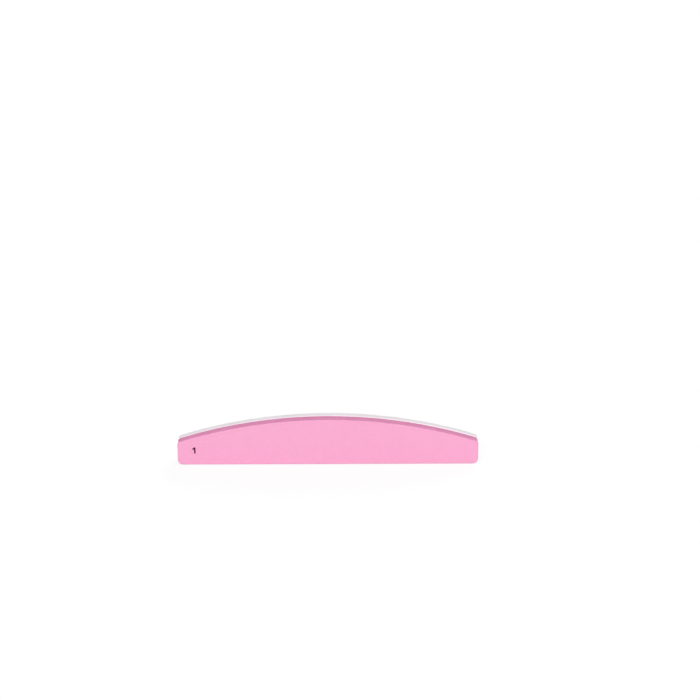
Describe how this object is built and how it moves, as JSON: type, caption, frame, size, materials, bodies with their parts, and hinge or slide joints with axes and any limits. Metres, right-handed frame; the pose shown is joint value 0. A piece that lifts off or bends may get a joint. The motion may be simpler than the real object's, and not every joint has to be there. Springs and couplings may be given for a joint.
{
  "type": "nail file",
  "caption": "Two-sided half-moon sponge nail file: padded foam core with pink abrasive on one face and white on the other, straight edge below and arched edge above.",
  "frame": {"origin": "middle of the straight edge, halfway through the thickness, at the file's lowest point when it stands on that edge", "axes": "+X along the length, to the right as side 1 is read; +Y through the thickness from the pink side 1 to the white side 2; +Z from the straight edge up to the arc"},
  "size_m": [0.178, 0.012, 0.028],
  "materials": {
    "ink": "matte",
    "pink_grit": "matte",
    "white_grit": "matte",
    "pink_paper": "matte",
    "white_paper": "matte",
    "adhesive_film": "satin",
    "pink_sponge": "matte",
    "white_sponge": "matte",
    "stiffener_plastic": "satin"
  },
  "bodies": {
    "root": {"side_1_number": "ink", "side_1_grit_coat": "pink_grit", "side_1_backing": "pink_paper", "side_1_adhesive": "adhesive_film", "pink_foam": "pink_sponge", "core_adhesive_1": "adhesive_film", "core_board": "stiffener_plastic", "core_adhesive_2": "adhesive_film", "white_foam": "white_sponge", "side_2_adhesive": "adhesive_film", "side_2_backing": "white_paper", "side_2_grit_coat": "white_grit", "side_2_number": "ink"}
  },
  "joints": []
}
